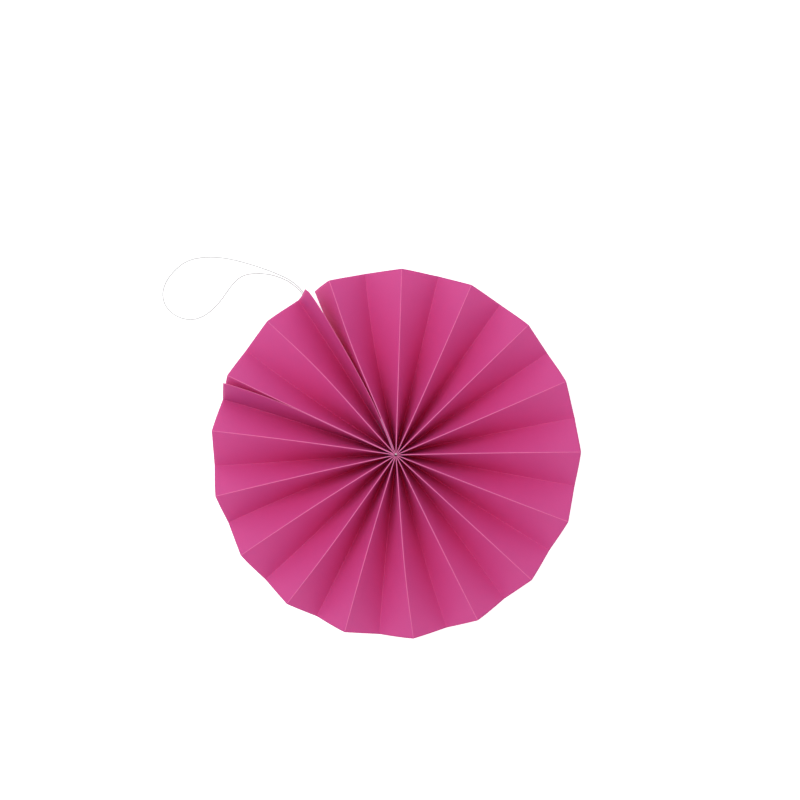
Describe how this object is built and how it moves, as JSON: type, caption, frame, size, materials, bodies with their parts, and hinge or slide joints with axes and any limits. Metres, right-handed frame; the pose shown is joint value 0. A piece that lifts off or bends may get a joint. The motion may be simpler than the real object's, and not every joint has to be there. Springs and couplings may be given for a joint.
{
  "type": "paper fan rosette",
  "caption": "Round pleated paper fan rosette, folded from two accordion strips closed into a ring, with a thin hanging loop.",
  "frame": {"origin": "hub's axis on the surface that the fan lies on", "axes": "+Z along the hub's axis, up from the surface; +X and +Y in the surface, the hanging loop lies towards -X +Y"},
  "size_m": [0.2286, 0.2077, 0.0212],
  "materials": {
    "pink_paper": "matt, dyed through",
    "white_tape": "matt",
    "white_thread": "twisted cotton",
    "clear_glue": "set hot glue",
    "pink_thread": "twisted cotton, dyed"
  },
  "bodies": {
    "root": {"pleated_strip_long": "pink_paper", "pleated_strip_short": "pink_paper", "closure_tape": "white_tape", "hub_tie_thread": "pink_thread", "glue_dot": "clear_glue", "cord_knot": "white_thread", "hanging_cord": "white_thread"}
  },
  "joints": []
}
